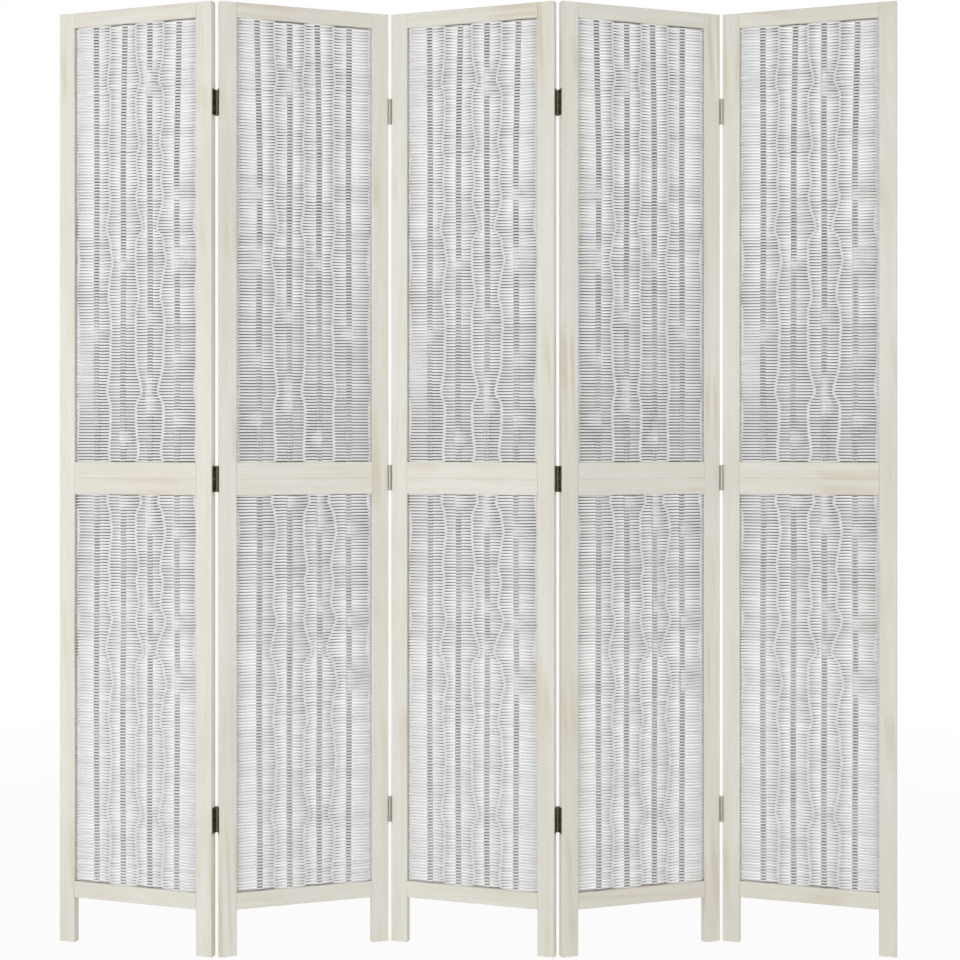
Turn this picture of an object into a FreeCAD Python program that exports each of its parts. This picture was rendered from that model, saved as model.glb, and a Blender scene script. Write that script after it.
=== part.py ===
# Wooden folding screen: five hinged panels standing in a zigzag. Each panel is an upper and a lower
# frame of grooved stiles and rails, pegged together at half height, with a woven mat in each frame.
# The origin is on the floor under the middle panel, +Z is up and the front faces -Y.
import FreeCAD, Part
import os
import Sketcher

doc = FreeCAD.newDocument("FoldingScreen")

# Driving dimensions in millimetres and degrees
dimensions = {
    "panelHeight": 1650,
    "panelWidth": 300,
    "foldAngle": 17.5,
    "frameDepth": 15,
    "stileWidth": 30,
    "topRailHeight": 26,
    "railHeight": 28.5,
    "legHeight": 80,
    "edgeChamfer": 0.8,
    "grooveWidth": 6,
    "grooveDepth": 6,
    "stakeDiameter": 4.6,
    "stakeSpacing": 5.2,
    "stakePitch": 53,
    "weaverThickness": 3,
    "matEdge": 5,
    "slitWidth": 4,
    "slitWall": 2,
    "slitEnd": 14,
    "dowelDiameter": 6,
    "dowelLength": 30,
    "dowelInset": 16,
    "fitClearance": 0.05,
    "topHingeHeight": 1477,
    "lowHingeHeight": 235,
    "hingeHeight": 45,
    "hingeGap": 3.2,
    "axisOffset": 2.9,
    "leafThickness": 1.2,
    "leafMargin": 1.5,
    "knuckleRadius": 2.4,
    "knucklePitch": 9,
    "knuckleGap": 0.3,
    "pinRadius": 1.1,
    "screwSpacing": 17.5,
    "screwLength": 12,
    "screwRadius": 1.25,
    "screwTipRadius": 0.5,
    "screwHeadRadius": 2.4,
}
sizes = doc.addObject("Spreadsheet::Sheet", "sizes")
for row, (alias, value) in enumerate(dimensions.items(), start=1):
    sizes.set(f"A{row}", alias)
    sizes.set(f"B{row}", str(value))
    sizes.setAlias(f"B{row}", alias)
doc.recompute()

# Lengths and places worked out from the driving dimensions
halfDepth = "sizes.frameDepth / 2"
halfGroove = "sizes.grooveWidth / 2"
halfWidth = "sizes.panelWidth / 2"
seam = "sizes.panelHeight / 2"
opening = "(sizes.panelWidth - 2 * sizes.stileWidth)"
upperMatHeight = f"({seam} - sizes.topRailHeight - sizes.railHeight)"
lowerMatHeight = f"({seam} - sizes.legHeight - 2 * sizes.railHeight)"
upperMatBase = f"({seam} + sizes.railHeight)"
lowerMatBase = "(sizes.legHeight + sizes.railHeight)"
axisX = "(sizes.panelWidth + sizes.hingeGap) / 2"
axisY = f"({halfDepth} + sizes.axisOffset)"
panelPitch = f"2 * ({axisX} * cos(sizes.foldAngle) + {axisY} * sin(sizes.foldAngle))"
boreRadius = "(sizes.pinRadius + sizes.fitClearance)"
pilotRadius = "(sizes.screwRadius + sizes.fitClearance)"
headRoom = "(sizes.screwHeadRadius + sizes.fitClearance)"
wrapRadius = "(sizes.stakeDiameter / 2 + sizes.weaverThickness)"
pairHalf = "sizes.stakeSpacing / 2"
stakeRoom = "(sizes.stakeDiameter / 2 + sizes.fitClearance)"
slitEdges = ("sizes.slitWall", "sizes.slitWall + sizes.slitWidth")
knuckleLength = "(sizes.knucklePitch - sizes.knuckleGap)"
pinLength = "(5 * sizes.knucklePitch - sizes.knuckleGap)"

# Small repeated rods and holes are flat-sided, so that the many copies stay light: sides of each
screwSides = 6
stakeSides = 6
dowelSides = 8
boreSides = 6
knuckleAngles = range(-60, 211, 45)

# Where the pairs of stakes stand across a mat, in stake pitches from its middle
pairSteps = (-1.5, -0.5, 0.5, 1.5)

# Which panels carry the three-knuckle leaves and the pins, and which side each hinge barrel is on
pinPanels = (2, 4)
panels = {
    1: {"turn": -1, "right": "back"},
    2: {"turn": 1, "left": "back", "right": "front"},
    3: {"turn": -1, "left": "front", "right": "back"},
    4: {"turn": 1, "left": "back", "right": "front"},
    5: {"turn": -1, "left": "front"},
}


def newSketch(body, name, role, offset="0"):
    """An empty sketch on one of the body's own origin planes, moved along that plane's normal."""
    sketch = body.newObject("Sketcher::SketchObject", name)
    plane = next(item for item in body.Origin.OriginFeatures if item.Role == role)
    sketch.AttachmentSupport = [(plane, "")]
    sketch.MapMode = "FlatFace"
    sketch.setExpression("AttachmentOffset.Base.z", offset)
    return sketch


def pinPoint(sketch, geometry, point, x, y):
    """Binds a point of the sketch to the expressions of its two coordinates."""
    for kind, axis, text in (("DistanceX", -2, x), ("DistanceY", -1, y)):
        value = sketch.evalExpression(text)
        if abs(value) < 1e-9:
            sketch.addConstraint(Sketcher.Constraint("PointOnObject", geometry, point, axis))
        else:
            number = sketch.addConstraint(Sketcher.Constraint(kind, -1, 1, geometry, point, value))
            sketch.setExpression(f"Constraints[{number}]", text)


def drawOutline(sketch, corners):
    """A closed outline of straight sides, anticlockwise."""
    spots = [FreeCAD.Vector(*(sketch.evalExpression(text) for text in corner)) for corner in corners]
    count = len(corners)
    first = sketch.GeometryCount
    for side, start in enumerate(spots):
        sketch.addGeometry(Part.LineSegment(start, spots[(side + 1) % count]))
    for side in range(count):
        following = first + (side + 1) % count
        sketch.addConstraint(Sketcher.Constraint("Coincident", first + side, 2, following, 1))
    for side, (x, y) in enumerate(corners):
        pinPoint(sketch, first + side, 1, x, y)


def roundCorners(x, y, radius, angles):
    """Points on a circle at the given angles in degrees."""
    return [(f"{x} + {radius} * cos({angle})", f"{y} + {radius} * sin({angle})") for angle in angles]


def drawPolygon(sketch, x, y, radius, sides, outside=False):
    """A regular polygon whose corners are on the circle, or whose flats are on it if outside."""
    reach = f"({radius}) / cos({180 / sides})" if outside else f"({radius})"
    drawOutline(sketch, roundCorners(x, y, reach, [360 / sides * step for step in range(sides)]))


def extrude(body, kind, sketch, length, symmetric=False, backwards=False):
    """A Pad or Pocket of the sketch."""
    feature = body.newObject(f"PartDesign::{kind}", sketch.Name + kind)
    feature.Profile = sketch
    feature.SideType = "Symmetric" if symmetric else "One side"
    feature.Reversed = backwards
    feature.setExpression("Length", length)
    body.Tip = feature
    return feature


def loft(body, kind, sketches):
    """An AdditiveLoft or SubtractiveLoft with straight sides through the sketches."""
    feature = body.newObject(f"PartDesign::{kind}", sketches[0].Name + kind)
    feature.Profile = sketches[0]
    feature.Sections = sketches[1:]
    feature.Ruled = True
    body.Tip = feature
    return feature


def repeatUp(body, feature, spacing, count):
    """Copies of the feature, one above the other."""
    pattern = body.newObject("PartDesign::LinearPattern", feature.Name + "Row")
    upright = next(item for item in body.Origin.OriginFeatures if item.Role == "Z_Axis")
    pattern.Originals = [feature]
    pattern.Direction = (upright, [""])
    pattern.Occurrences = count
    pattern.setExpression("Length", f"{spacing} * {count - 1}")
    body.Tip = pattern


def drawSection(sketch, width, grooved):
    """A frame member's section: depth along X, width along Y from its outer edge, groove at the far edge."""
    cut = "sizes.edgeChamfer"
    near = [(f"{cut} - {halfDepth}", "0"), (f"{halfDepth} - {cut}", "0"), (halfDepth, cut)]
    far = [(halfDepth, f"{width} - {cut}"), (f"{halfDepth} - {cut}", width)]
    groove = [
        (halfGroove, width),
        (halfGroove, f"{width} - sizes.grooveDepth"),
        (f"-{halfGroove}", f"{width} - sizes.grooveDepth"),
        (f"-{halfGroove}", width),
    ]
    back = [
        (f"{cut} - {halfDepth}", width),
        (f"-{halfDepth}", f"{width} - {cut}"),
        (f"-{halfDepth}", cut),
    ]
    drawOutline(sketch, near + far + (groove if grooved else []) + back)


def makeStile(name, upper, hinged):
    """A stile of the upper or lower frame. Its outer edge is on the XZ plane and it stands at Z = 0."""
    body = doc.addObject("PartDesign::Body", name)
    foot = "0" if upper else "sizes.legHeight"
    if not upper:
        leg = newSketch(body, name + "Leg", "XY_Plane")
        drawSection(leg, "sizes.stileWidth", grooved=False)
        extrude(body, "Pad", leg, "sizes.legHeight")
    section = newSketch(body, name + "Section", "XY_Plane", foot)
    drawSection(section, "sizes.stileWidth", grooved=True)
    extrude(body, "Pad", section, f"{seam} - {foot}")

    peg = newSketch(body, name + "Peg", "XY_Plane", "0" if upper else seam)
    hole = "sizes.dowelDiameter / 2 + sizes.fitClearance"
    drawPolygon(peg, "0", "sizes.dowelInset", hole, dowelSides)
    extrude(body, "Pocket", peg, "sizes.dowelLength / 2", backwards=upper)

    if hinged:
        hinge = f"(sizes.topHingeHeight - {seam})" if upper else "sizes.lowHingeHeight"
        seamScrew = "sizes.screwSpacing" if upper else f"{seam} - sizes.screwSpacing"
        pilots = newSketch(body, name + "Pilots", "XZ_Plane")
        for height in (f"{hinge} - sizes.screwSpacing", hinge, f"{hinge} + sizes.screwSpacing", seamScrew):
            drawPolygon(pilots, "0", height, pilotRadius, screwSides)
        extrude(body, "Pocket", pilots, "sizes.screwLength - sizes.leafThickness")
    return body


def makeRail(name, height):
    """A rail along X with its groove on top and a stub tenon at each end."""
    body = doc.addObject("PartDesign::Body", name)
    section = newSketch(body, name + "Section", "YZ_Plane")
    drawSection(section, height, grooved=True)
    extrude(body, "Pad", section, opening, symmetric=True)
    tenon = newSketch(body, name + "Tenon", "YZ_Plane")
    shoulder = f"{height} - sizes.grooveDepth"
    corners = [(f"-{halfGroove}", "0"), (halfGroove, "0"), (halfGroove, shoulder), (f"-{halfGroove}", shoulder)]
    drawOutline(tenon, corners)
    extrude(body, "Pad", tenon, f"{opening} + 2 * sizes.grooveDepth", symmetric=True)
    return body


def makeMat(name, height):
    """A woven mat. It swells round its four pairs of stakes, is thin where the weavers cross between them,
    and is open beside the stakes, where the weavers part to pass in front and behind."""
    body = doc.addObject("PartDesign::Body", name)
    plan = newSketch(body, name + "Plan", "XY_Plane")
    side = f"({opening} / 2 + sizes.matEdge)"
    reach, room = f"({pairHalf} + {stakeRoom})", stakeRoom
    profile = [(f"-{side}", halfGroove), ("-2 * sizes.stakePitch", halfGroove)]
    for step in pairSteps:
        profile += [(f"{step} * sizes.stakePitch {sign} {reach}", wrapRadius) for sign in "-+"]
        profile.append((f"{step + 0.5} * sizes.stakePitch", halfGroove))
    profile.append((side, halfGroove))
    drawOutline(plan, [(x, f"-{y}") for x, y in profile] + profile[::-1])
    for step in pairSteps:
        left, right = (f"{step} * sizes.stakePitch {sign} {reach}" for sign in "-+")
        drawOutline(plan, [(left, f"-{room}"), (right, f"-{room}"), (right, room), (left, room)])
    extrude(body, "Pad", plan, height)

    slits = newSketch(body, name + "Slits", "XZ_Plane")
    low, high = "sizes.slitEnd", f"{height} - sizes.slitEnd"
    for step in pairSteps:
        for sign in (-1, 1):
            near, far = (f"{step} * sizes.stakePitch + {sign} * ({reach} + {away})" for away in slitEdges)
            left, right = (near, far) if sign > 0 else (far, near)
            drawOutline(slits, [(left, low), (right, low), (right, high), (left, high)])
    extrude(body, "Pocket", slits, f"2 * {wrapRadius}", symmetric=True)
    return body


def makeStake(name, matHeight):
    """An upright rod of the mat, seated in the grooves of the rails above and below."""
    stake = doc.addObject("Part::Prism", name)
    stake.Polygon = stakeSides
    stake.setExpression("Circumradius", "sizes.stakeDiameter / 2")
    stake.setExpression("Height", f"{matHeight} + 2 * sizes.grooveDepth")
    return stake


def makeDowel(name):
    """A wooden peg for the seam between the upper and the lower frame, standing at Z = 0."""
    peg = doc.addObject("Part::Prism", name)
    peg.Polygon = dowelSides
    peg.setExpression("Circumradius", "sizes.dowelDiameter / 2")
    peg.setExpression("Height", "sizes.dowelLength")
    return peg


def makeLeaf(name, knuckles):
    """A hinge leaf: X points out of the stile's edge, Y towards the barrel, Z = 0 at mid height."""
    body = doc.addObject("PartDesign::Body", name)
    thick = "sizes.leafThickness"
    shoulder = f"{axisY} - sizes.knuckleRadius - sizes.knuckleGap"
    plate = newSketch(body, name + "Plate", "XY_Plane")
    rim = f"sizes.leafMargin - {halfDepth}"
    drawOutline(plate, [("0", rim), (thick, rim), (thick, shoulder), ("0", shoulder)])
    extrude(body, "Pad", plate, "sizes.hingeHeight", symmetric=True)

    low = f"-({knuckles} - 1) * sizes.knucklePitch - {knuckleLength} / 2"
    curl = newSketch(body, name + "Curl", "XY_Plane", low)
    centre = "sizes.hingeGap / 2"
    root, tip = (
        (edge, f"{axisY} - sqrt(sizes.knuckleRadius^2 - ({centre} - {edge})^2)") for edge in (thick, "0")
    )
    barrel = roundCorners(centre, axisY, "sizes.knuckleRadius", knuckleAngles)
    drawOutline(curl, [("0", shoulder), (thick, shoulder), root] + barrel + [tip])
    drawPolygon(curl, centre, axisY, boreRadius, boreSides, outside=True)
    knuckle = extrude(body, "Pad", curl, knuckleLength)
    repeatUp(body, knuckle, "2 * sizes.knucklePitch", knuckles)

    mouths = []
    for end, offset, radius in (("Inner", "0", pilotRadius), ("Outer", thick, headRoom)):
        mouth = newSketch(body, name + "Sink" + end, "YZ_Plane", offset)
        drawPolygon(mouth, "0", "-sizes.screwSpacing", radius, screwSides)
        mouths.append(mouth)
    sink = loft(body, "SubtractiveLoft", mouths)
    repeatUp(body, sink, "sizes.screwSpacing", 3)
    return body


def makePin(name):
    """A hinge pin, standing at Z = 0."""
    pin = doc.addObject("Part::Cylinder", name)
    pin.setExpression("Radius", "sizes.pinRadius")
    pin.setExpression("Height", pinLength)
    return pin


def makeScrew(name):
    """A countersunk wood screw along -X, with the top of its head at X = 0."""
    body = doc.addObject("PartDesign::Body", name)
    steps = {
        "Head": ("0", "sizes.screwHeadRadius"),
        "Neck": ("-sizes.leafThickness", "sizes.screwRadius"),
        "Tip": ("-sizes.screwLength", "sizes.screwTipRadius"),
    }
    rings = []
    for step, (offset, radius) in steps.items():
        ring = newSketch(body, name + step, "YZ_Plane", offset)
        drawPolygon(ring, "0", "0", radius, screwSides)
        rings.append(ring)
    loft(body, "AdditiveLoft", rings)
    return body


def place(master, x="0", y="0", z="0", about=(0, 0, 1), angle=0):
    """A copy of a master piece, placed in the panel's own frame."""
    copy = doc.addObject("App::Link", master.Name + "Copy")
    copy.LinkedObject = master
    copy.Placement = FreeCAD.Placement(FreeCAD.Vector(), FreeCAD.Rotation(FreeCAD.Vector(*about), angle))
    for axis, text in zip("xyz", (x, y, z)):
        copy.setExpression(f"Placement.Base.{axis}", text)
    return copy


def addNode(panel, name, copies):
    """A named sub-part of one panel, carried to that panel's place in the zigzag."""
    label = f"panel_{panel}_{name}"
    node = doc.addObject("Part::Compound", label)
    node.Label = label
    node.Links = copies
    node.setExpression("Placement.Base.x", f"({panel} - 3) * {panelPitch}")
    node.setExpression("Placement.Rotation.Angle", f"{panels[panel]['turn']} * sizes.foldAngle")
    nodes.append(node)


# One master for each kind of piece
stakePlaces = [f"{step} * sizes.stakePitch {sign} {pairHalf}" for step in pairSteps for sign in "-+"]
stiles = {}
for frame in ("upper", "lower"):
    for hinged in (True, False):
        name = f"{frame}Stile{'Hinged' if hinged else 'Plain'}"
        stiles[frame, hinged] = makeStile(name, frame == "upper", hinged)
topRail = makeRail("topRail", "sizes.topRailHeight")
rail = makeRail("rail", "sizes.railHeight")
mats = {"upper": makeMat("upperMat", upperMatHeight), "lower": makeMat("lowerMat", lowerMatHeight)}
stakes = {"upper": makeStake("upperStake", upperMatHeight), "lower": makeStake("lowerStake", lowerMatHeight)}
dowel = makeDowel("dowel")
leaves = {True: makeLeaf("pinLeaf", 3), False: makeLeaf("runningLeaf", 2)}
hingePin = makePin("hingePin")
screw = makeScrew("screw")
doc.recompute()

# How a copy turns to face its side of the panel: the sign of X, and a hinge leaf's turn for its barrel
sides = {"left": -1, "right": 1}
leafTurns = {
    ("right", "back"): ((0, 0, 1), 0),
    ("left", "back"): ((0, 1, 0), 180),
    ("right", "front"): ((1, 0, 0), 180),
    ("left", "front"): ((0, 0, 1), 180),
}
hingeHeights = ("sizes.lowHingeHeight", seam, "sizes.topHingeHeight")
frameBases = {"upper": seam, "lower": "0"}
matBases = {"upper": upperMatBase, "lower": lowerMatBase}

nodes = []
for panel, layout in panels.items():
    for frame, base in frameBases.items():
        for side, sign in sides.items():
            stile = stiles[frame, side in layout]
            addNode(panel, f"{frame}_{side}_stile", [
                place(stile, x=f"{sign} * {halfWidth}", z=base, angle=90 * sign),
            ])

    flipped = {"about": (1, 0, 0), "angle": 180}
    addNode(panel, "upper_rails", [
        place(topRail, z="sizes.panelHeight", **flipped),
        place(rail, z=seam),
    ])
    addNode(panel, "lower_rails", [
        place(rail, z=seam, **flipped),
        place(rail, z="sizes.legHeight"),
    ])

    addNode(panel, "woven_mats", [place(mats[frame], z=matBases[frame]) for frame in mats])
    rods = []
    for frame, stake in stakes.items():
        for spot in stakePlaces:
            rods.append(place(stake, x=spot, z=f"{matBases[frame]} - sizes.grooveDepth"))
    addNode(panel, "stakes", rods)

    pegBase = f"{seam} - sizes.dowelLength / 2"
    pegs = [place(dowel, x=f"{sign} * ({halfWidth} - sizes.dowelInset)", z=pegBase) for sign in sides.values()]
    addNode(panel, "dowels", pegs)

    plates, fixings, axles = [], [], []
    for side, sign in sides.items():
        if side not in layout:
            continue
        barrel = layout[side]
        about, angle = leafTurns[side, barrel]
        depthSign = 1 if barrel == "back" else -1
        for height in hingeHeights:
            leaf = leaves[panel in pinPanels]
            plates.append(place(leaf, f"{sign} * {halfWidth}", z=height, about=about, angle=angle))
            # The middle hinge spans the seam, so its centre hole stays empty
            for step in (-1, 1) if height == seam else (-1, 0, 1):
                headX = f"{sign} * ({halfWidth} + sizes.leafThickness)"
                headZ = f"{height} + {step} * sizes.screwSpacing"
                fixings.append(place(screw, x=headX, z=headZ, angle=90 - 90 * sign))
            if panel in pinPanels:
                pinBase = f"{height} - {pinLength} / 2"
                axles.append(place(hingePin, f"{sign} * {axisX}", f"{depthSign} * {axisY}", pinBase))
    addNode(panel, "hinge_leaves", plates)
    addNode(panel, "hinge_screws", fixings)
    if axles:
        addNode(panel, "hinge_pins", axles)
doc.recompute()

# Everything must have built before any file is written
for item in doc.Objects:
    if {"Invalid", "Error"} & set(item.State):
        raise RuntimeError(f"{item.Name} did not build: {item.State}")
for node in nodes:
    if node.Shape.isNull() or not node.Shape.isValid():
        raise RuntimeError(f"{node.Label} has no valid shape")

os.makedirs("parts", exist_ok=True)
for node in nodes:
    node.Shape.exportStep(f"parts/{node.Label}.step")
    solids = node.Shape.Solids
    print(node.Label, len(solids), "solids", round(sum(solid.Volume for solid in solids)), "mm3")
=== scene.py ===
import random
from math import cos, exp, pi, radians, sin

import bmesh
import bpy
from mathutils import Matrix, Vector


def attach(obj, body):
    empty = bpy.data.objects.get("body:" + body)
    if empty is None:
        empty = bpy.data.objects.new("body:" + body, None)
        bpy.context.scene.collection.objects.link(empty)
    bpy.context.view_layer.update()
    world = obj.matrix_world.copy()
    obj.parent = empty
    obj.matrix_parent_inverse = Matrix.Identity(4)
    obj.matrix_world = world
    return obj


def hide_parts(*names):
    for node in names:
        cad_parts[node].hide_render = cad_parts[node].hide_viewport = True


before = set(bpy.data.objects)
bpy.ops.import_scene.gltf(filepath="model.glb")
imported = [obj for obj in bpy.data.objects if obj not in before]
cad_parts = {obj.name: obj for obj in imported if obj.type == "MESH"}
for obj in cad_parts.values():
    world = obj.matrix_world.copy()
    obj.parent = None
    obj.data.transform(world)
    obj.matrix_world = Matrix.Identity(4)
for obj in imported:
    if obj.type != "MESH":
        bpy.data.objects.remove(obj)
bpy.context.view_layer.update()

# where the panels and their mats are, in millimetres, as in the CAD
screen = {
    "panels": (1, 2, 3, 4, 5),
    "middlePanel": 3,
    "foldAngle": 17.5,
    "halfWidth": 150.0,
    "hingeX": 151.6,  # hinge axis from the middle of a panel
    "hingeY": 10.4,  # and from its mid depth
    "seam": 825.0,  # height where the lower and upper frames meet
    "upperMat": (853.5, 1624.0),  # lowest and highest edge of the rods
    "lowerMat": (108.5, 796.5),
}
fold = radians(screen["foldAngle"])


def turnSide(number):
    # even panels are turned one way in the zigzag, odd ones the other way
    return 1 if number % 2 == 0 else -1


def matAt(height):
    return "upperMat" if height > screen["seam"] else "lowerMat"


def matFacing(turn, mat):
    # on the even panels the upper mat shows its back
    return -1 if turn > 0 and mat == "upperMat" else 1


def panelPlace(number):
    # from a panel's own millimetres to its place in the zigzag, in metres
    pitch = 2 * (screen["hingeX"] * cos(fold) + screen["hingeY"] * sin(fold))
    shift = Matrix.Translation(((number - screen["middlePanel"]) * pitch, 0, 0))
    return Matrix.Scale(0.001, 4) @ shift @ Matrix.Rotation(fold * turnSide(number), 4, "Z")


# camera: level, a little above half height, with the photo's framing
lens = {
    "spot": (0.0095, -2.7254, 0.9032),  # metres
    "frame": 960,  # width and height of the picture in pixels
    "focal": 1550.6,  # pixels
    "centre": (478.0, 433.8),  # pixels from the left and from the top
    "sensor": 36,  # millimetres
}
eye = bpy.data.objects.new("eye", bpy.data.cameras.new("eye"))
eye.location = lens["spot"]
eye.rotation_euler = (pi / 2, 0, 0)
eye.data.sensor_width = lens["sensor"]
eye.data.lens = lens["focal"] * lens["sensor"] / lens["frame"]
eye.data.shift_x = 0.5 - lens["centre"][0] / lens["frame"]
eye.data.shift_y = lens["centre"][1] / lens["frame"] - 0.5
bpy.context.scene.collection.objects.link(eye)
bpy.context.scene.camera = eye
bpy.context.scene.view_settings.view_transform = "Standard"
print("camera set")


# a Wire is one shader socket: sums on wires add Math nodes, and node() adds any other
class Wire:
    def __init__(self, tree, socket=None):
        self.tree = tree
        self.socket = socket

    def node(self, kind, settings=None, inputs=None, output=0):
        made = self.tree.nodes.new(kind)
        for name, value in (settings or {}).items():
            setattr(made, name, value)
        for name, value in (inputs or {}).items():
            if isinstance(value, Wire):
                self.tree.links.new(value.socket, made.inputs[name])
            else:
                made.inputs[name].default_value = value
        return Wire(self.tree, made.outputs[output] if made.outputs else None)

    def math(self, operation, first, second):
        return self.node("ShaderNodeMath", {"operation": operation}, {0: first, 1: second})

    def __add__(self, other):
        return self.math("ADD", self, other)

    def __mul__(self, other):
        return self.math("MULTIPLY", self, other)

    __radd__ = __add__

    def clip(self, low, high):
        # 0 below low, 1 above high, smooth between
        return self.node("ShaderNodeMapRange", {"interpolation_type": "SMOOTHSTEP"}, {0: self, 1: low, 2: high})

    def blend(self, first, second):
        # colour first where this wire is 0, second where it is 1
        return self.node("ShaderNodeMix", {"data_type": "RGBA"}, {0: self, 6: first, 7: second}, 2)

    def grain(self, scale, detail, roughness=0.5):
        # noise on this wire's vector
        inputs = {"Vector": self, "Scale": scale, "Detail": detail, "Roughness": roughness}
        return self.node("ShaderNodeTexNoise", {}, inputs)

    def stretch(self, scale, turn=0.0):
        return self.node("ShaderNodeMapping", {}, {"Vector": self, "Rotation": (0, 0, -turn), "Scale": scale})

    def relief(self, strength, distance):
        # bumps as high as this wire
        return self.node("ShaderNodeBump", {}, {"Strength": strength, "Distance": distance, "Height": self})


def newFinish(name):
    finish = bpy.data.materials.new(name)
    finish.use_nodes = True
    finish.node_tree.nodes.clear()
    wire = Wire(finish.node_tree)
    return finish, wire, wire.node("ShaderNodeTexCoord", output="Object")


def endFinish(wire, shaderInputs):
    shader = wire.node("ShaderNodeBsdfPrincipled", {}, shaderInputs)
    wire.node("ShaderNodeOutputMaterial", {}, {"Surface": shader})


def shade(red, green, blue):
    # a colour as the screen shows it, 0 to 255, made linear
    parts = [value / 255 for value in (red, green, blue)]
    return (*[p / 12.92 if p <= 0.04045 else ((p + 0.055) / 1.055) ** 2.4 for p in parts], 1)


# white-washed wood of the frames
washedWood = {
    "cream": shade(227, 224, 211),
    "pale": shade(232, 230, 221),
    "warm": shade(216, 206, 186),
    "rosy": shade(222, 214, 204),
    "fibre": shade(204, 197, 183),
    "alongUpright": (1, 1, 0.05),  # the grain is drawn out along each piece
    "alongRail": (0.05, 1, 1),
    "streakGrain": (75, 3, 0.6),  # scale, detail and roughness of a noise
    "fineGrain": (520, 3, 0.6),
    "patchGrain": (5.5, 1),
    "blushGrain": (3.1, 1),
    "rings": {"Scale": 22, "Distortion": 9, "Detail": 2, "Detail Scale": 1.2},
    "warmShare": 0.75,
    "rosyShare": 0.5,
    "fibreShare": 0.45,
    "roughness": 0.55,
    "roughFibres": 0.12,
    "relief": 0.5,
    "fibreDepth": 0.00025,
    "shine": 0.3,
}


def makeWashedWood(name, turn, along):
    finish, wire, spot = newFinish(name)
    panel = spot.stretch((1, 1, 1), turn)
    fibres = panel.stretch(along)
    streaks = fibres.grain(*washedWood["streakGrain"])
    fine = fibres.grain(*washedWood["fineGrain"])
    ringInputs = {"Vector": fibres, **washedWood["rings"]}
    rings = wire.node("ShaderNodeTexWave", {"bands_direction": "DIAGONAL"}, ringInputs, "Fac")
    patches = panel.grain(*washedWood["patchGrain"])
    blush = panel.grain(*washedWood["blushGrain"])
    ground = streaks.clip(0.35, 0.65).blend(washedWood["cream"], washedWood["pale"])
    warmth = patches.clip(0.5, 0.68) * rings.clip(0.2, 1.0) * washedWood["warmShare"]
    warmed = warmth.blend(ground, washedWood["warm"])
    rosy = (blush.clip(0.5, 0.7) * washedWood["rosyShare"]).blend(warmed, washedWood["rosy"])
    tone = (fine.clip(0.56, 0.8) * washedWood["fibreShare"]).blend(rosy, washedWood["fibre"])
    endFinish(wire, {
        "Base Color": tone,
        "Roughness": washedWood["roughness"] + fine * washedWood["roughFibres"],
        "Normal": (fine + streaks).relief(washedWood["relief"], washedWood["fibreDepth"]),
        "Specular IOR Level": washedWood["shine"],
    })
    return finish


# white-painted rods and stakes of the mats, with painted shade: the rods are darker on the sides that face into the
# weave and the stakes darker than the rods, where shade falls between them
paintedWicker = {
    "white": shade(242, 242, 242),
    "grey": shade(230, 230, 230),
    "worn": shade(200, 199, 196),
    # painted shade on the rods' inner sides, and deeper painted shade beside the crossings far from the level
    # height
    "paintedShade": shade(138, 137, 136),
    "deep": shade(84, 84, 83),
    # the stakes' colours are painted shade: darker than the rods, with random patches, and darker again up high
    "stake": shade(192, 191, 188),
    "stakeDark": shade(162, 161, 158),
    "stakeBare": shade(132, 131, 128),
    "stakeShadeFrom": (1.0, 1.3),  # between these heights the stakes' painted shade gets darker towards the top
    "rowTones": (11, 4, 375),  # how fast a noise changes along, through and up the mat
    "rodFibres": (45, 800, 800),
    "rubbedSpots": (160, 160, 300),
    "stakeFibres": (700, 700, 40),
    "stakePatches": 15,
    "wornShare": 0.5,
    "roughness": 0.5,
    "roughFibres": 0.1,
    "relief": 0.5,
    "fibreDepth": 0.0002,
    "shine": 0.3,
}


def makePaintedWicker(name, turn):
    finish, wire, spot = newFinish(name)
    panel = spot.stretch((1, 1, 1), turn)
    rows = panel.stretch(paintedWicker["rowTones"]).grain(1, 1)  # a tone for each row of rods
    fibres = panel.stretch(paintedWicker["rodFibres"]).grain(1, 3, 0.6)
    wearAndSheen = panel.stretch(paintedWicker["rubbedSpots"]).grain(1, 2)
    # the painted shade that each point of the rods gets, from the mesh
    paintedShade = wire.node("ShaderNodeAttribute", {"attribute_name": "paintedShade"}, {}, "Fac")
    ground = rows.clip(0.3, 0.7).blend(paintedWicker["white"], paintedWicker["grey"])
    wear = wearAndSheen.clip(0.62, 0.8) * fibres.clip(0.4, 0.7) * paintedWicker["wornShare"]
    tone = wear.blend(ground, paintedWicker["worn"])
    # the rods darken to painted shade on their inner sides, and to deeper painted shade beside the crossings
    shadedTone = paintedShade.clip(0.15, 0.85).blend(tone, paintedWicker["paintedShade"])
    endFinish(wire, {
        "Base Color": paintedShade.clip(1.0, 1.8).blend(shadedTone, paintedWicker["deep"]),
        "Roughness": paintedWicker["roughness"] + rows * paintedWicker["roughFibres"],
        "Normal": fibres.relief(paintedWicker["relief"], paintedWicker["fibreDepth"]),
        "Specular IOR Level": paintedWicker["shine"],
    })
    return finish


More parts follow.
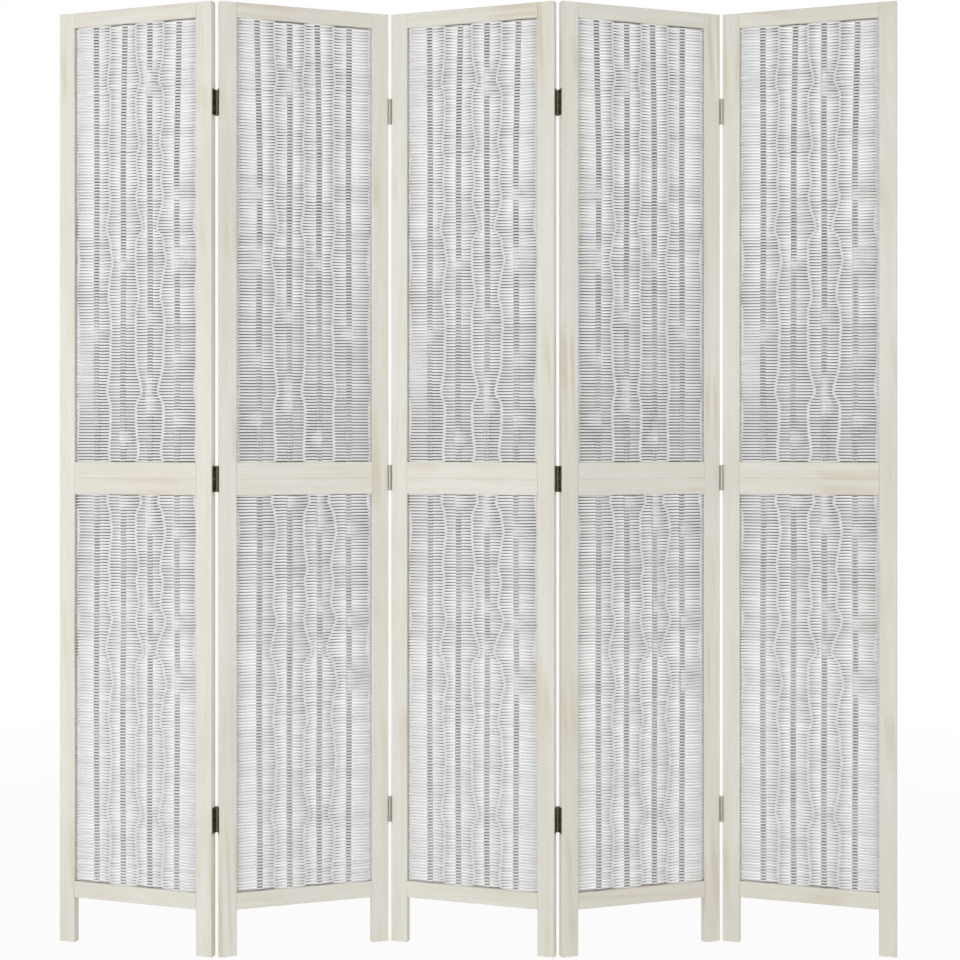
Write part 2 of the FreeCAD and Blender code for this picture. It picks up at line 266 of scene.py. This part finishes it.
def makeStakeFinish(name, turn):
    finish, wire, spot = newFinish(name)
    fibres = spot.stretch((1, 1, 1), turn).stretch(paintedWicker["stakeFibres"]).grain(1, 3, 0.6)
    # painted shade: the stakes darken above these heights
    high = wire.node("ShaderNodeSeparateXYZ", {}, {0: spot}, "Z").clip(*paintedWicker["stakeShadeFrom"])
    patches = spot.grain(paintedWicker["stakePatches"], 1).clip(0.4, 0.62)
    low = patches.blend(paintedWicker["stake"], paintedWicker["stakeDark"])
    shadedTop = patches.blend(paintedWicker["stakeDark"], paintedWicker["stakeBare"])
    endFinish(wire, {
        "Base Color": high.blend(low, shadedTop),
        "Roughness": paintedWicker["roughness"] + fibres * paintedWicker["roughFibres"],
        "Normal": fibres.relief(paintedWicker["relief"], paintedWicker["fibreDepth"]),
    })
    return finish


# bronze of the hinges: dark plates, barrels in a lighter bronze that is a painted sheen, nearly black screws
hingeBronze = {
    "dark": shade(108, 103, 84),
    "brown": shade(134, 126, 104),
    # the barrels' lighter bronze is a painted sheen of the bright surroundings
    "wearAndSheen": shade(186, 183, 175),
    "sheenDark": shade(160, 157, 149),
    "screw": shade(12, 11, 9),
    "screwWorn": shade(26, 24, 20),
    "mottle": (420, 3, 0.6),
    "scratches": (900, 900, 60),
    "roughScratches": 0.2,
    "relief": 0.3,
    "depth": 0.0001,
}


def makeBronze(name, low, high, metallic, roughness, shine=0.5):
    finish, wire, spot = newFinish(name)
    mottle = spot.grain(*hingeBronze["mottle"])
    scratches = spot.stretch(hingeBronze["scratches"]).grain(1, 2)
    endFinish(wire, {
        "Base Color": mottle.clip(0.3, 0.7).blend(hingeBronze[low], hingeBronze[high]),
        "Metallic": metallic,
        "Roughness": roughness + scratches * hingeBronze["roughScratches"],
        "Normal": mottle.relief(hingeBronze["relief"], hingeBronze["depth"]),
        "Specular IOR Level": shine,
    })
    return finish


# bare wood of the hidden pegs
pegWood = {
    "light": shade(214, 182, 138),
    "dark": shade(170, 128, 84),
    "fibres": (900, 900, 50),
    "roughness": 0.7,
    "roughFibres": 0.1,
}


def makePegWood(name):
    finish, wire, spot = newFinish(name)
    fibres = spot.stretch(pegWood["fibres"]).grain(1, 3)
    endFinish(wire, {
        "Base Color": fibres.clip(0.3, 0.7).blend(pegWood["light"], pegWood["dark"]),
        "Roughness": pegWood["roughness"] + fibres * pegWood["roughFibres"],
    })
    return finish


uprightWood = makeWashedWood("uprightWood", 0.0, washedWood["alongUpright"])
railWood = {}
wicker = {}
stakeFinish = {}
for turn, side in ((-1, "Left"), (1, "Right")):
    railWood[turn] = makeWashedWood("railWood" + side, turn * fold, washedWood["alongRail"])
    wicker[turn] = makePaintedWicker("wicker" + side, turn * fold)
    stakeFinish[turn] = makeStakeFinish("stakes" + side, turn * fold)
plateBronze = makeBronze("plateBronze", "dark", "brown", 0.85, 0.38)
# barrels and pins: the same bronze painted lighter, a painted sheen
barrelBronze = makeBronze("barrelBronze", "sheenDark", "wearAndSheen", 0.9, 0.4)
screwBronze = makeBronze("screwBronze", "screw", "screwWorn", 0.0, 0.6, 0.1)
pegFinish = makePegWood("pegWood")
for name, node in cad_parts.items():
    if name.endswith("stile"):
        finish = uprightWood
    elif name.endswith("rails"):
        finish = railWood[turnSide(int(name.split("_")[1]))]
    else:
        finish = pegFinish
    for place in node.material_slots:
        place.material = finish
print("finishes made")


def addPiece(name, mesh, finishes, number, node):
    # a finished mesh that stands for one CAD node of a panel
    for finish in finishes:
        mesh.materials.append(finish)
    piece = bpy.data.objects.new(name, mesh)
    bpy.context.scene.collection.objects.link(piece)
    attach(piece, f"panel_{number}")
    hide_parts(f"panel_{number}_{node}")


def bendRods(name, rods, width, rounding, twist):
    # one mesh of round rods, each a list of (point, thickness factor)
    line = bpy.data.curves.new(name, "CURVE")
    line.dimensions = "3D"
    line.twist_mode = twist
    line.bevel_depth = width / 2
    line.bevel_resolution = rounding
    line.use_fill_caps = True
    for rod in rods:
        spline = line.splines.new("POLY")
        spline.points.add(len(rod) - 1)
        spline.points.foreach_set("co", [value for point, _ in rod for value in (*point, 1)])
        spline.points.foreach_set("radius", [factor for _, factor in rod])
        spline.use_smooth = True
    holder = bpy.data.objects.new(name, line)
    mesh = bpy.data.meshes.new_from_object(holder)
    bpy.data.objects.remove(holder)
    bpy.data.curves.remove(line)
    return mesh


# the woven mats, in millimetres: thin rods that swing from face to face between four pairs of stakes
weave = {
    "rowPitch": 2.667,
    "rodWidth": 2.6,
    "rounding": 1,
    "unevenHeight": 0.12,
    "unevenWidth": 0.05,
    "seed": 11,
    "firstSides": {"upperMat": -1, "lowerMat": 1},  # the side that the lowest rod starts on
    "swing": 4.2,  # how far a rod's middle stands off the mat's mid plane at a stake
    "pairs": (-79.5, -26.5, 26.5, 79.5),
    "necks": (-116.5, -51.5, -1.0, 53.5, 117.5),  # where the rods of neighbouring rows cross
    "end": 125.0,
    "endOut": 0.25,  # share of its swing that a rod has at its ends
    "near": (3.2, 0.3),  # this far from a crossing a rod has this share of its swing
    "nearMost": 0.5,  # but no further than this share of the way to the stakes
    "slack": 5.0,  # this far short of the stakes a rod has this share of its swing
    "slackShare": 0.88,
    "crossWidth": 1.06,  # thickness factor at a crossing
    "thinning": 0.06,  # and how much less it is at a stake
    "full": 1.2,  # rods are a little fuller where they bend over the stakes
    "plump": 1.0,  # and more so where they lie tight
    "tight": {  # heights where the rods lie flat and close over a pair of stakes
        0: (1078,),
        1: (1200, 895, 785),
        2: (1530, 1508, 1108, 990, 970, 950, 785, 765, 745, 600, 530),
        3: (1318, 1215, 1195, 1030, 930, 735, 574, 475, 460),
    },
    "tightSpan": 15.0,
    "smooth": {1018: 75.0, 1530: 90.0},  # heights where the rods lie close in the first column, and how far
    "smoothFactor": 0.25,
    "waists": {  # heights where the second and fourth columns of rods bulge, and by how much
        1522: 9, 1410: 7, 1342: 5, 1264: 13, 1143: 6, 976: 11, 870: 5,
        783: 10, 666: 6, 604: 6, 520: 14, 398: 6, 232: 10, 126: 4,
    },
    "waistSpans": (14.0, 32.0),  # a waist opens sharply below and slowly above
    "sway": (-0.7, -0.6, 1.0, -1.0, -0.4),  # how far each crossing gives way at a waist
    "backWaist": 0.5,  # share of the bulging in a mat that shows its back
    "bellies": {1207: 5, 1090: 2, 730: 3, 574: 4, 464: 6, 330: 3},  # heights where the third column bulges
    "bellySpan": 16.0,
    "bellySway": (0.5, 0.8, 0.0, 1.0, 0.3),
    "parted": (  # places where rows are pushed apart: across, up and how far
        (-24, 1397, 0.8), (66, 1397, 0.3), (-30, 1252, 0.5),
        (64, 1252, 0.4), (30, 1428, 0.3), (28, 1296, 0.3),
    ),
    "partedReach": (34, 40),  # how far across and up such a place reaches
    "level": 903.0,  # away from this height the front rods stand off from the back ones, up above it and down below
    "openReach": 520.0,  # this far away the light comes straight through between them
    "openPower": 0.6,
    "openMost": 1.05,  # share of the pitch that they stand off at most
    "openWave": 0.2,
    "openWaves": ((97.0, 0.0), (124.0, 2.1), (108.0, 4.0), (86.0, 1.0)),  # length and start of each column's waves
    "sight": 0.00308,  # opening that the mat's depth alone gives for each millimetre of that distance
}
# where shade is painted on the rods: on the sides that face into the weave, where shade falls between them
paintedWeaveShade = {
    "from": 0.4,  # a rod this far off the mid plane gets painted shade on its inner side
    "spread": 0.3,  # the strip of painted shade is broad beside a crossing and narrows towards the stakes
    "narrowing": 6.0,
    "openFrom": (200.0, 600.0),  # this far above or below the level the light comes through beside the stakes
    "openShare": 0.88,  # share of the painted shade that is left out there
    "outerShare": 0.5,  # and this much more outside the outer stakes
    "dashes": {"upperMat": 1.0, "lowerMat": 0.1},  # how much deeper the painted shade is in the strips beside the crossings there
    "dashNarrowing": 1.6,
    "tightReach": 4.0,  # this far from the middle of a pair the tight rods lose their painted shade
    "tightShare": 0.85,
    "smoothShare": 0.75,
}
stakeRods = {
    "width": 5.2,
    "rounding": 3,
    "spacing": (5.0, 5.0, 4.9, 4.9),
    "lean": (0.0, 4.5, 0.0, 4.0),  # the second and fourth pairs lean over towards their tops
    "leanFrom": (1380.0, 1624.0),
    "overrun": 5.6,  # into the grooves of the rails
    "drift": 0.6,
    "driftLength": 95,
    "uneven": 0.01,
    "steps": 14,
    "seed": 5,
}


def stakeLean(block, height):
    low, high = stakeRods["leanFrom"]
    lean = stakeRods["lean"][block] * max(0.0, (height - low) / (high - low))
    return lean + stakeRods["drift"] * sin(height / stakeRods["driftLength"] + block)


def waistAt(height):
    below, above = weave["waistSpans"]
    waist = 0.0
    for spot, far in weave["waists"].items():
        waist += far * exp(-(((height - spot) / (above if height > spot else below)) ** 2))
    return waist


def swell(height, spots, span):
    return sum(exp(-(((height - spot) / span) ** 2)) for spot in spots)


def tightAt(block, height):
    return min(1.0, swell(height, weave["tight"][block], weave["tightSpan"]))


def smoothAt(height):
    return min(1.0, sum(swell(height, [spot], span) for spot, span in weave["smooth"].items()))


def partRows(x, height):
    across, up = weave["partedReach"]
    lift = 0.0
    for spotX, spotZ, far in weave["parted"]:
        away = height - spotZ
        nearness = max(0.0, 1 - abs(away) / up) ** 2 * max(0.0, 1 - abs(x - spotX) / across)
        lift += far * nearness * (1 if away > 0 else -1)
    return lift


def climbAt(block, height):
    # how far the rods of a column climb to the front
    away = height - weave["level"]
    length, start = weave["openWaves"][block]
    wave = 1 + weave["openWave"] * sin(2 * pi * height / length + start)
    opened = min(1.0, abs(away) / weave["openReach"]) ** weave["openPower"] * wave
    gap = min(weave["openMost"], opened) * weave["rowPitch"]
    climb = max(0.0, gap - weave["sight"] * abs(away)) / 2
    return climb if away > 0 else -climb


def weaveRow(side, height, thickness, nudge, facing):
    # the rod is first laid out by place, share of the swing, thickness factor and climb
    waist = waistAt(height)
    if facing < 0:
        waist *= weave["backWaist"]
    belly = sum(far * swell(height, [spot], weave["bellySpan"]) for spot, far in weave["bellies"].items())
    necks = []
    for place, sway, bellySway in zip(weave["necks"], weave["sway"], weave["bellySway"]):
        necks.append(place + sway * waist + bellySway * belly)
    near, share = weave["near"]
    most = weave["nearMost"]
    points = [(-weave["end"], -weave["endOut"] * side, 1.0, 0.0)]
    for block, pair in enumerate(weave["pairs"]):
        face = side * (-1) ** block
        middle = pair + stakeLean(block, height)
        half = stakeRods["spacing"][block] / 2
        left = necks[block]
        right = necks[block + 1]
        plump = weave["full"] + weave["plump"] * tightAt(block, height)
        climb = climbAt(block, height)
        close = 1.0
        if block == 0 and facing > 0:
            close += weave["smoothFactor"] * smoothAt(height)
        points += [
            (left, 0.0, 1.0, 0.0),
            (left + min(near, most * (middle - half - left)), face * share, close, climb),
            (middle - half - weave["slack"], face * weave["slackShare"], close, climb),
            (middle - half, face, plump, climb),
            (middle + half, face, plump, climb),
            (right - min(near, most * (right - middle - half)), face * share, 1.0, climb),
        ]
    points += [(necks[-1], 0.0, 1.0, 0.0), (weave["end"], weave["endOut"] * side, 1.0, 0.0)]
    rod = []
    for x, out, factor, climb in points:
        z = height + nudge + partRows(x, height) - out * facing * climb
        width = thickness * factor * (weave["crossWidth"] - weave["thinning"] * abs(out))
        rod.append(((x * facing, out * facing * weave["swing"], z), width))
    return rod


def paintedShadeShare(x, height, apart, facing):
    # share of the painted shade that is left where the rods lie close or the light comes through
    start, end = paintedWeaveShade["openFrom"]
    pairs = weave["pairs"]
    clear = min(1.0, max(0.0, (abs(height - weave["level"]) - start) / (end - start)))
    dashes = paintedWeaveShade["dashes"][matAt(height)]
    left = 1 - paintedWeaveShade["openShare"] * clear * apart
    left += dashes * clear * max(0.0, 1 - paintedWeaveShade["dashNarrowing"] * apart)
    block = min(range(len(pairs)), key=lambda item: abs(x - pairs[item]))
    if abs(x - pairs[block] - stakeLean(block, height)) < paintedWeaveShade["tightReach"]:
        left *= 1 - paintedWeaveShade["tightShare"] * tightAt(block, height)
    if abs(x) > pairs[-1]:
        left *= 1 - paintedWeaveShade["outerShare"] * clear
    if x < pairs[0] and facing > 0:
        left *= 1 - paintedWeaveShade["smoothShare"] * smoothAt(height)
    return left


def markPaintedShade(mesh, turn):
    # painted shade: 0 on a rod's outer side and at the crossings, up to 2 on the side that faces into the weave
    depths = []
    for vert in mesh.vertices:
        facing = matFacing(turn, matAt(vert.co.z))
        core = vert.co.y - vert.normal.y * weave["rodWidth"] / 2
        inward = max(0.0, -vert.normal.y * (1 if core > 0 else -1))
        apart = abs(core) / weave["swing"]
        narrowing = paintedWeaveShade["spread"] + paintedWeaveShade["narrowing"] * apart ** 2
        # the painted shade on this side of the rod
        dim = inward ** narrowing * min(1.0, abs(core) / paintedWeaveShade["from"])
        depths.append(dim * paintedShadeShare(vert.co.x * facing, vert.co.z, apart, facing))
    mesh.attributes.new("paintedShade", "FLOAT", "POINT").data.foreach_set("value", depths)


def weaveMats(turn):
    # both mats of one panel
    dice = random.Random(weave["seed"])
    rows = []
    for mat, firstSide in weave["firstSides"].items():
        facing = matFacing(turn, mat)
        low, high = screen[mat]
        span = high - low - weave["rodWidth"]
        count = round(span / weave["rowPitch"])
        for row in range(count + 1):
            height = low + weave["rodWidth"] / 2 + span * row / count
            thickness = 1 + dice.uniform(-1, 1) * weave["unevenWidth"]
            nudge = dice.gauss(0, weave["unevenHeight"])
            rows.append(weaveRow(firstSide * (-1) ** row, height, thickness, nudge, facing))
    mesh = bendRods("mats", rows, weave["rodWidth"], weave["rounding"], "Z_UP")
    markPaintedShade(mesh, turn)
    return mesh


def setStakes(turn):
    dice = random.Random(stakeRods["seed"])
    stakes = []
    for mat in weave["firstSides"]:
        facing = matFacing(turn, mat)
        bottom = screen[mat][0] - stakeRods["overrun"]
        top = screen[mat][1] + stakeRods["overrun"]
        for block, pair in enumerate(weave["pairs"]):
            for side in (-1, 1):
                rod = []
                for step in range(stakeRods["steps"] + 1):
                    height = bottom + (top - bottom) * step / stakeRods["steps"]
                    x = pair + stakeLean(block, height) + side * stakeRods["spacing"][block] / 2
                    rod.append(((x * facing, 0, height), 1 + dice.uniform(-1, 1) * stakeRods["uneven"]))
                stakes.append(rod)
    return bendRods("stakes", stakes, stakeRods["width"], stakeRods["rounding"], "MINIMUM")


matMeshes = {turn: weaveMats(turn) for turn in (-1, 1)}
stakeMeshes = {turn: setStakes(turn) for turn in (-1, 1)}
for number in screen["panels"]:
    turn = turnSide(number)
    for title, master, finish, node in (
        ("wovenMats", matMeshes[turn], wicker[turn], "woven_mats"),
        ("stakes", stakeMeshes[turn], stakeFinish[turn], "stakes"),
    ):
        mesh = master.copy()
        mesh.transform(panelPlace(number))
        addPiece(f"{title}{number}", mesh, [finish], number, node)
print("mats woven:", len(matMeshes[1].polygons), "faces in the rods of each panel")


# butt hinges, in millimetres: leaves with curled knuckles, pins and screws
hinge = {
    "heights": (235.0, 825.0, 1477.0),
    "sides": {  # each panel's hinged edges, left -1 and right 1, and where the barrels stand out there
        1: {1: "back"},
        2: {-1: "back", 1: "front"},
        3: {-1: "front", 1: "back"},
        4: {-1: "back", 1: "front"},
        5: {-1: "front"},
    },
    "height": 45.0,
    "thick": 1.2,
    "rim": -6.0,  # the plate runs from here to the shoulder, where the knuckles begin
    "shoulder": 7.7,
    "axis": (1.6, 10.4),
    "barrel": (1.15, 2.4),  # inner and outer radius
    "barrelFrom": 0.4,  # this far past the shoulder the metal takes the lighter bronze, a painted sheen
    "pinKnuckles": 3,  # on the leaf that holds the pin, and on the one that runs on it
    "runningKnuckles": 2,
    "pitch": 9.0,
    "knuckle": 8.7,
    "curlStart": 205,  # degrees
    "curl": 322,
    "curlSteps": 16,
    "screwSpacing": 17.5,
    "hole": (1.3, 2.45),  # inner and outer radius of the countersink
    "holeOverrun": 0.2,  # the cone that cuts it runs this far past both faces of the plate
    "round": 20,  # sides of a round shape
    "crease": 40,  # degrees: edges that bend more stay sharp
    "screwCrease": 35,
    "weld": 0.001,  # points closer than this become one
    # (along, radius) points of a screw
    "screwHead": ((0.22, 0.0), (0.18, 1.1), (0.0, 2.35), (-1.2, 1.25), (-11.2, 0.7), (-12.0, 0.0)),
    "slot": (0.6, 2.7, 0.6),  # width, length and depth of the screw's cross
    "slotTop": 0.2,
    "crossTurns": (0.5, 0.003),  # turn of a cross by its place in the leaf and by its height
    # (radius, along) points of half a pin, whose ends are domed
    "pinHalf": ((0.0, 23.0), (1.0, 22.9), (1.65, 22.65), (1.65, 22.4), (1.1, 22.4)),
}
# how a leaf is turned for each edge and barrel
leafTurns = {
    (1, "back"): Matrix(),
    (-1, "back"): Matrix.Rotation(pi, 4, "Y"),
    (1, "front"): Matrix.Rotation(pi, 4, "X"),
    (-1, "front"): Matrix.Rotation(pi, 4, "Z"),
}


def smoothFaces(mesh, crease):
    mesh.shade_smooth()
    mesh.set_sharp_from_angle(angle=radians(crease))


def finishMesh(bm, name):
    bmesh.ops.remove_doubles(bm, verts=bm.verts, dist=hinge["weld"])
    bmesh.ops.recalc_face_normals(bm, faces=bm.faces)
    mesh = bpy.data.meshes.new(name)
    bm.to_mesh(mesh)
    bm.free()
    smoothFaces(mesh, hinge["crease"])
    return mesh


def carve(mesh, tool):
    # cuts the tool's shape out of a mesh
    block = bpy.data.objects.new("block", mesh)
    knife = bpy.data.objects.new("knife", tool)
    for item in (block, knife):
        bpy.context.scene.collection.objects.link(item)
    cut = block.modifiers.new("cut", "BOOLEAN")
    cut.operation = "DIFFERENCE"
    cut.solver = "EXACT"
    cut.object = knife
    made = bpy.data.meshes.new_from_object(block.evaluated_get(bpy.context.evaluated_depsgraph_get()))
    for item in (block, knife):
        bpy.data.objects.remove(item)
    return made


def lathe(bm, profile, axis):
    # turns an open profile of (along, radius) points round an axis through the origin
    spots = []
    for along, radius in profile:
        spots.append(bm.verts.new((along, radius, 0) if axis.x else (radius, 0, along)))
    edges = [bm.edges.new(pair) for pair in zip(spots, spots[1:])]
    bmesh.ops.spin(
        bm, geom=spots + edges, cent=(0, 0, 0), axis=axis, angle=2 * pi, steps=hinge["round"], use_merge=True,
    )


def makeLeaf(name, knuckles):
    thick = hinge["thick"]
    rim = hinge["rim"]
    shoulder = hinge["shoulder"]
    bm = bmesh.new()
    bmesh.ops.create_cube(bm, size=1)
    bmesh.ops.scale(bm, vec=(thick, shoulder - rim, hinge["height"]), verts=bm.verts)
    bmesh.ops.translate(bm, vec=(thick / 2, (rim + shoulder) / 2, 0), verts=bm.verts)
    middles = [(2 * step - knuckles + 1) * hinge["pitch"] for step in range(knuckles)]
    for middle in middles:
        for end in (-0.5, 0.5):
            cut = (0, 0, middle + end * hinge["knuckle"])
            parts = bm.verts[:] + bm.edges[:] + bm.faces[:]
            bmesh.ops.bisect_plane(bm, geom=parts, plane_co=cut, plane_no=(0, 0, 1))
    axisX, axisY = hinge["axis"]
    start = radians(hinge["curlStart"])
    for middle in middles:
        # the plate's edge is drawn out to the barrel and curled round the pin
        edge = Vector((thick / 2, shoulder, middle))
        root = min(bm.faces, key=lambda face: (face.calc_center_median() - edge).length)
        drawn = bmesh.ops.extrude_face_region(bm, geom=[root])["geom"]
        for vert in (item for item in drawn if isinstance(item, bmesh.types.BMVert)):
            radius = hinge["barrel"][0 if vert.co.x > thick / 2 else 1]
            vert.co.x = axisX + radius * cos(start)
            vert.co.y = axisY + radius * sin(start)
        bmesh.ops.spin(
            bm, geom=[item for item in drawn if isinstance(item, bmesh.types.BMFace)], cent=(axisX, axisY, 0),
            axis=(0, 0, 1), angle=-radians(hinge["curl"]), steps=hinge["curlSteps"],
        )
    plate = finishMesh(bm, name)
    bm = bmesh.new()
    inner, outer = hinge["hole"]
    overrun = hinge["holeOverrun"]
    flare = (outer - inner) / thick * overrun
    for step in (-1, 0, 1):
        place = Matrix.Translation((thick / 2, 0, step * hinge["screwSpacing"])) @ Matrix.Rotation(pi / 2, 4, "Y")
        bmesh.ops.create_cone(
            bm, cap_ends=True, segments=hinge["round"], radius1=inner - flare, radius2=outer + flare,
            depth=thick + 2 * overrun, matrix=place,
        )
    leaf = carve(plate, finishMesh(bm, name + "Holes"))
    smoothFaces(leaf, hinge["crease"])
    # the barrel's faces take the lighter bronze, a painted sheen
    for face in leaf.polygons:
        face.material_index = 1 if face.center.y > shoulder + hinge["barrelFrom"] else 0
    return leaf


def makeScrew():
    bm = bmesh.new()
    lathe(bm, hinge["screwHead"], Vector((1, 0, 0)))
    screw = finishMesh(bm, "screw")
    width, length, depth = hinge["slot"]
    for size in ((depth * 2, width, length), (depth * 2, length, width)):
        bm = bmesh.new()
        bmesh.ops.create_cube(bm, size=1)
        bmesh.ops.scale(bm, vec=size, verts=bm.verts)
        bmesh.ops.translate(bm, vec=(hinge["slotTop"], 0, 0), verts=bm.verts)
        screw = carve(screw, finishMesh(bm, "screwBar"))
    smoothFaces(screw, hinge["screwCrease"])
    return screw


def makePin():
    bm = bmesh.new()
    half = hinge["pinHalf"]
    profile = [(along, radius) for radius, along in half] + [(-along, radius) for radius, along in reversed(half)]
    lathe(bm, profile, Vector((0, 0, 1)))
    return finishMesh(bm, "pin")


def copies(name, placed):
    # one mesh of many placed copies
    bm = bmesh.new()
    for master, place in placed:
        copy = master.copy()
        copy.transform(place)
        bm.from_mesh(copy)
        bpy.data.meshes.remove(copy)
    mesh = bpy.data.meshes.new(name)
    bm.to_mesh(mesh)
    bm.free()
    return mesh


pinLeaf = makeLeaf("pinLeaf", hinge["pinKnuckles"])
runningLeaf = makeLeaf("runningLeaf", hinge["runningKnuckles"])
screw = makeScrew()
pin = makePin()
stepTurn, heightTurn = hinge["crossTurns"]
for number, sides in hinge["sides"].items():
    home = panelPlace(number)
    holdsPins = number % 2 == 0
    leaves = []
    screws = []
    pins = []
    for side, barrel in sides.items():
        outward = Matrix.Rotation(pi / 2 - side * pi / 2, 4, "Z")
        deep = screen["hingeY"] if barrel == "back" else -screen["hingeY"]
        for height in hinge["heights"]:
            edge = home @ Matrix.Translation((side * screen["halfWidth"], 0, height))
            leaves.append((pinLeaf if holdsPins else runningLeaf, edge @ leafTurns[side, barrel]))
            # the middle hinge has no screw over the seam
            for step in (-1, 1) if height == screen["seam"] else (-1, 0, 1):
                head = Matrix.Translation((side * hinge["thick"], 0, step * hinge["screwSpacing"]))
                twist = Matrix.Rotation(stepTurn * step + heightTurn * height, 4, "X")
                screws.append((screw, edge @ head @ outward @ twist))
            if holdsPins:
                pins.append((pin, home @ Matrix.Translation((side * screen["hingeX"], deep, height))))
    leafMesh = copies("leaves", leaves)
    addPiece(f"hingeLeaves{number}", leafMesh, [plateBronze, barrelBronze], number, "hinge_leaves")
    addPiece(f"hingeScrews{number}", copies("screws", screws), [screwBronze], number, "hinge_screws")
    if pins:
        addPiece(f"hingePins{number}", copies("pins", pins), [barrelBronze], number, "hinge_pins")
print("hinges hung")


# studio: pale floor, white surround, soft lamps, in metres and watts
studio = {
    "floorSize": 40.0,
    "floorTone": (0.9, 0.9, 0.9, 1),
    "floorGlow": 0.93,  # share of plain white that the camera sees in the floor near the screen
    "floorFade": (1.2, 3.0),  # further out the floor fades to plain white
    "white": (1, 1, 1, 1),
    "surround": 0.41,
    "lamps": {
        "key": {"spot": (-2.4, -2.9, 1.1), "size": 2.1, "power": 57.0},
        "fill": {"spot": (3.0, -3.2, 1.1), "size": 2.1, "power": 40.0},
        "back": {"spot": (0.6, 3.6, 1.6), "size": 2.8, "power": 45.0},
    },
    "aim": (0.0, 0.0, 0.85),
}


def seenDirectly(wire):
    # 1 for what the camera sees, also in a reflection or through something clear
    seen = wire.node("ShaderNodeLightPath")
    rays = seen.socket.node.outputs
    for name in ("Is Glossy Ray", "Is Transmission Ray"):
        seen = wire.math("MAXIMUM", seen, Wire(wire.tree, rays[name]))
    return seen


bm = bmesh.new()
bmesh.ops.create_grid(bm, x_segments=1, y_segments=1, size=studio["floorSize"] / 2)
floorMesh = bpy.data.meshes.new("floor")
bm.to_mesh(floorMesh)
bm.free()
floor = bpy.data.objects.new("floor", floorMesh)
bpy.context.scene.collection.objects.link(floor)
floorFinish, wire, spot = newFinish("floorPaper")
paper = wire.node("ShaderNodeBsdfDiffuse", {}, {"Color": studio["floorTone"]})
glow = wire.node("ShaderNodeEmission", {}, {"Color": studio["white"], "Strength": 1.0})
away = wire.node("ShaderNodeVectorMath", {"operation": "LENGTH"}, {0: spot}, "Value").clip(*studio["floorFade"])
share = seenDirectly(wire) * (studio["floorGlow"] + away * (1 - studio["floorGlow"]))
mixed = wire.node("ShaderNodeMixShader", {}, {0: share, 1: paper, 2: glow})
wire.node("ShaderNodeOutputMaterial", {}, {"Surface": mixed})
floorMesh.materials.append(floorFinish)

world = bpy.data.worlds.new("surround")
world.use_nodes = True
world.node_tree.nodes.clear()
wire = Wire(world.node_tree)
dim = wire.node("ShaderNodeBackground", {}, {"Color": studio["white"], "Strength": studio["surround"]})
white = wire.node("ShaderNodeBackground", {}, {"Color": studio["white"], "Strength": 1.0})
mixed = wire.node("ShaderNodeMixShader", {}, {0: seenDirectly(wire), 1: dim, 2: white})
wire.node("ShaderNodeOutputWorld", {}, {"Surface": mixed})
bpy.context.scene.world = world

for name, lamp in studio["lamps"].items():
    light = bpy.data.lights.new(name, "AREA")
    light.shape = "SQUARE"
    light.size = lamp["size"]
    light.energy = lamp["power"]
    holder = bpy.data.objects.new(name, light)
    holder.location = lamp["spot"]
    holder.rotation_euler = (Vector(studio["aim"]) - Vector(lamp["spot"])).to_track_quat("-Z", "Y").to_euler()
    bpy.context.scene.collection.objects.link(holder)
print("studio lit")
